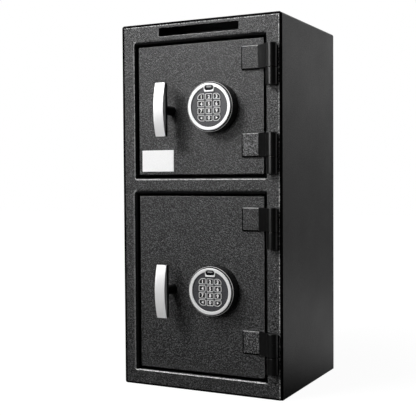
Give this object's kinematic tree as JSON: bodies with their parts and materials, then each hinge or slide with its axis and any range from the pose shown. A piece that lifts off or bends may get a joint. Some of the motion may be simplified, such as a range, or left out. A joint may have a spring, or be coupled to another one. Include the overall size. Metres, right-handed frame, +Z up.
{
  "type": "deposit safe",
  "caption": "Tall steel safe with two hinged doors, a front deposit slot, lever handles, sliding live bolts and round electronic keypads.",
  "frame": {"origin": "centre of the base's underside, on the floor", "axes": "+Z up, -Y is the door side, +X to the viewer's right"},
  "size_m": [0.35, 0.357, 0.735],
  "materials": {
    "front_coat": "textured black powder coat, satin",
    "side_coat": "smooth black paint, satin",
    "hinge_coat": "black paint, semi-gloss",
    "cover_coat": "black paint, satin",
    "zinc_steel": "zinc plated, satin",
    "bolt_steel": "turned bright steel",
    "lock_zinc": "cast zinc alloy",
    "satin_silver": "satin silver",
    "handle_black": "semi-gloss black",
    "keypad_black": "fine moulded black",
    "key_rubber": "matt, with pale outlines",
    "circuit_board": "green laminate",
    "label_white": "plain white plate",
    "window_lens": "dark clear lens"
  },
  "bodies": {
    "cabinet": {"cabinet_wrap": "side_coat", "base_panel": "side_coat", "back_panel": "side_coat", "front_frame": "front_coat", "divider_shelf": "side_coat", "deposit_chute": "side_coat", "frame_hinge_barrels": "hinge_coat", "hinge_pins": "zinc_steel"},
    "upper_door": {"upper_door_plate": "front_coat", "upper_hinge_straps": "hinge_coat", "upper_dead_bar": "zinc_steel", "upper_lock_cover": "cover_coat", "upper_lock_case": "lock_zinc", "upper_keypad_housing": "keypad_black", "upper_keypad_ring": "satin_silver", "upper_keypad_board": "circuit_board"},
    "upper_handle": {"upper_handle": "handle_black", "upper_handle_face": "satin_silver", "upper_crank": "zinc_steel"},
    "upper_boltwork": {"upper_bolt_bar": "zinc_steel", "upper_live_bolts": "bolt_steel"},
    "upper_plunger": {"upper_lock_plunger": "bolt_steel"},
    "upper_key_1": {"upper_key_1": "key_rubber"},
    "upper_key_2": {"upper_key_2": "key_rubber"},
    "upper_key_3": {"upper_key_3": "key_rubber"},
    "upper_key_4": {"upper_key_4": "key_rubber"},
    "upper_key_5": {"upper_key_5": "key_rubber"},
    "upper_key_6": {"upper_key_6": "key_rubber"},
    "upper_key_7": {"upper_key_7": "key_rubber"},
    "upper_key_8": {"upper_key_8": "key_rubber"},
    "upper_key_9": {"upper_key_9": "key_rubber"},
    "upper_key_10": {"upper_key_10": "key_rubber"},
    "upper_key_11": {"upper_key_11": "key_rubber"},
    "upper_key_12": {"upper_key_12": "key_rubber"},
    "lower_door": {"lower_door_plate": "front_coat", "lower_hinge_straps": "hinge_coat", "lower_dead_bar": "zinc_steel", "lower_lock_cover": "cover_coat", "lower_lock_case": "lock_zinc", "lower_keypad_housing": "keypad_black", "lower_keypad_ring": "satin_silver", "lower_keypad_board": "circuit_board"},
    "lower_handle": {"lower_handle": "handle_black", "lower_handle_face": "satin_silver", "lower_crank": "zinc_steel"},
    "lower_boltwork": {"lower_bolt_bar": "zinc_steel", "lower_live_bolts": "bolt_steel"},
    "lower_plunger": {"lower_lock_plunger": "bolt_steel"},
    "lower_key_1": {"lower_key_1": "key_rubber"},
    "lower_key_2": {"lower_key_2": "key_rubber"},
    "lower_key_3": {"lower_key_3": "key_rubber"},
    "lower_key_4": {"lower_key_4": "key_rubber"},
    "lower_key_5": {"lower_key_5": "key_rubber"},
    "lower_key_6": {"lower_key_6": "key_rubber"},
    "lower_key_7": {"lower_key_7": "key_rubber"},
    "lower_key_8": {"lower_key_8": "key_rubber"},
    "lower_key_9": {"lower_key_9": "key_rubber"},
    "lower_key_10": {"lower_key_10": "key_rubber"},
    "lower_key_11": {"lower_key_11": "key_rubber"},
    "lower_key_12": {"lower_key_12": "key_rubber"}
  },
  "joints": [
    {"name": "upper_door_hinge", "type": "hinge", "parent": "cabinet", "child": "upper_door", "pos_m": [0.15975, -0.1645, 0.43], "axis": [0, 0, 1], "range_deg": [0, 110]},
    {"name": "upper_handle_turn", "type": "hinge", "parent": "upper_door", "child": "upper_handle", "pos_m": [-0.062, -0.1485, 0.558], "axis": [0, -1, 0], "range_deg": [0, 45]},
    {"name": "upper_bolt_slide", "type": "slide", "parent": "upper_door", "child": "upper_boltwork", "axis": [-1, 0, 0], "range_m": [0, 0.02]},
    {"name": "upper_plunger_slide", "type": "slide", "parent": "upper_door", "child": "upper_plunger", "axis": [0, 0, -1], "range_m": [0, 0.008], "stiffness_N_per_m": 120, "springref_m": -0.004},
    {"name": "upper_key_1_press", "type": "slide", "parent": "upper_door", "child": "upper_key_1", "axis": [0, 1, 0], "range_m": [0, 0.001], "stiffness_N_per_m": 400, "springref_m": -0.0005},
    {"name": "upper_key_2_press", "type": "slide", "parent": "upper_door", "child": "upper_key_2", "axis": [0, 1, 0], "range_m": [0, 0.001], "stiffness_N_per_m": 400, "springref_m": -0.0005},
    {"name": "upper_key_3_press", "type": "slide", "parent": "upper_door", "child": "upper_key_3", "axis": [0, 1, 0], "range_m": [0, 0.001], "stiffness_N_per_m": 400, "springref_m": -0.0005},
    {"name": "upper_key_4_press", "type": "slide", "parent": "upper_door", "child": "upper_key_4", "axis": [0, 1, 0], "range_m": [0, 0.001], "stiffness_N_per_m": 400, "springref_m": -0.0005},
    {"name": "upper_key_5_press", "type": "slide", "parent": "upper_door", "child": "upper_key_5", "axis": [0, 1, 0], "range_m": [0, 0.001], "stiffness_N_per_m": 400, "springref_m": -0.0005},
    {"name": "upper_key_6_press", "type": "slide", "parent": "upper_door", "child": "upper_key_6", "axis": [0, 1, 0], "range_m": [0, 0.001], "stiffness_N_per_m": 400, "springref_m": -0.0005},
    {"name": "upper_key_7_press", "type": "slide", "parent": "upper_door", "child": "upper_key_7", "axis": [0, 1, 0], "range_m": [0, 0.001], "stiffness_N_per_m": 400, "springref_m": -0.0005},
    {"name": "upper_key_8_press", "type": "slide", "parent": "upper_door", "child": "upper_key_8", "axis": [0, 1, 0], "range_m": [0, 0.001], "stiffness_N_per_m": 400, "springref_m": -0.0005},
    {"name": "upper_key_9_press", "type": "slide", "parent": "upper_door", "child": "upper_key_9", "axis": [0, 1, 0], "range_m": [0, 0.001], "stiffness_N_per_m": 400, "springref_m": -0.0005},
    {"name": "upper_key_10_press", "type": "slide", "parent": "upper_door", "child": "upper_key_10", "axis": [0, 1, 0], "range_m": [0, 0.001], "stiffness_N_per_m": 400, "springref_m": -0.0005},
    {"name": "upper_key_11_press", "type": "slide", "parent": "upper_door", "child": "upper_key_11", "axis": [0, 1, 0], "range_m": [0, 0.001], "stiffness_N_per_m": 400, "springref_m": -0.0005},
    {"name": "upper_key_12_press", "type": "slide", "parent": "upper_door", "child": "upper_key_12", "axis": [0, 1, 0], "range_m": [0, 0.001], "stiffness_N_per_m": 400, "springref_m": -0.0005},
    {"name": "lower_door_hinge", "type": "hinge", "parent": "cabinet", "child": "lower_door", "pos_m": [0.15975, -0.1645, 0.037], "axis": [0, 0, 1], "range_deg": [0, 110]},
    {"name": "lower_handle_turn", "type": "hinge", "parent": "lower_door", "child": "lower_handle", "pos_m": [-0.062, -0.1485, 0.201], "axis": [0, -1, 0], "range_deg": [0, 45]},
    {"name": "lower_bolt_slide", "type": "slide", "parent": "lower_door", "child": "lower_boltwork", "axis": [-1, 0, 0], "range_m": [0, 0.02]},
    {"name": "lower_plunger_slide", "type": "slide", "parent": "lower_door", "child": "lower_plunger", "axis": [0, 0, -1], "range_m": [0, 0.008], "stiffness_N_per_m": 120, "springref_m": -0.004},
    {"name": "lower_key_1_press", "type": "slide", "parent": "lower_door", "child": "lower_key_1", "axis": [0, 1, 0], "range_m": [0, 0.001], "stiffness_N_per_m": 400, "springref_m": -0.0005},
    {"name": "lower_key_2_press", "type": "slide", "parent": "lower_door", "child": "lower_key_2", "axis": [0, 1, 0], "range_m": [0, 0.001], "stiffness_N_per_m": 400, "springref_m": -0.0005},
    {"name": "lower_key_3_press", "type": "slide", "parent": "lower_door", "child": "lower_key_3", "axis": [0, 1, 0], "range_m": [0, 0.001], "stiffness_N_per_m": 400, "springref_m": -0.0005},
    {"name": "lower_key_4_press", "type": "slide", "parent": "lower_door", "child": "lower_key_4", "axis": [0, 1, 0], "range_m": [0, 0.001], "stiffness_N_per_m": 400, "springref_m": -0.0005},
    {"name": "lower_key_5_press", "type": "slide", "parent": "lower_door", "child": "lower_key_5", "axis": [0, 1, 0], "range_m": [0, 0.001], "stiffness_N_per_m": 400, "springref_m": -0.0005},
    {"name": "lower_key_6_press", "type": "slide", "parent": "lower_door", "child": "lower_key_6", "axis": [0, 1, 0], "range_m": [0, 0.001], "stiffness_N_per_m": 400, "springref_m": -0.0005},
    {"name": "lower_key_7_press", "type": "slide", "parent": "lower_door", "child": "lower_key_7", "axis": [0, 1, 0], "range_m": [0, 0.001], "stiffness_N_per_m": 400, "springref_m": -0.0005},
    {"name": "lower_key_8_press", "type": "slide", "parent": "lower_door", "child": "lower_key_8", "axis": [0, 1, 0], "range_m": [0, 0.001], "stiffness_N_per_m": 400, "springref_m": -0.0005},
    {"name": "lower_key_9_press", "type": "slide", "parent": "lower_door", "child": "lower_key_9", "axis": [0, 1, 0], "range_m": [0, 0.001], "stiffness_N_per_m": 400, "springref_m": -0.0005},
    {"name": "lower_key_10_press", "type": "slide", "parent": "lower_door", "child": "lower_key_10", "axis": [0, 1, 0], "range_m": [0, 0.001], "stiffness_N_per_m": 400, "springref_m": -0.0005},
    {"name": "lower_key_11_press", "type": "slide", "parent": "lower_door", "child": "lower_key_11", "axis": [0, 1, 0], "range_m": [0, 0.001], "stiffness_N_per_m": 400, "springref_m": -0.0005},
    {"name": "lower_key_12_press", "type": "slide", "parent": "lower_door", "child": "lower_key_12", "axis": [0, 1, 0], "range_m": [0, 0.001], "stiffness_N_per_m": 400, "springref_m": -0.0005}
  ],
  "couplings": [
    {"joint": "upper_bolt_slide", "follows": "upper_handle_turn", "m_per_rad": 0.025465},
    {"joint": "lower_bolt_slide", "follows": "lower_handle_turn", "m_per_rad": 0.025465}
  ]
}
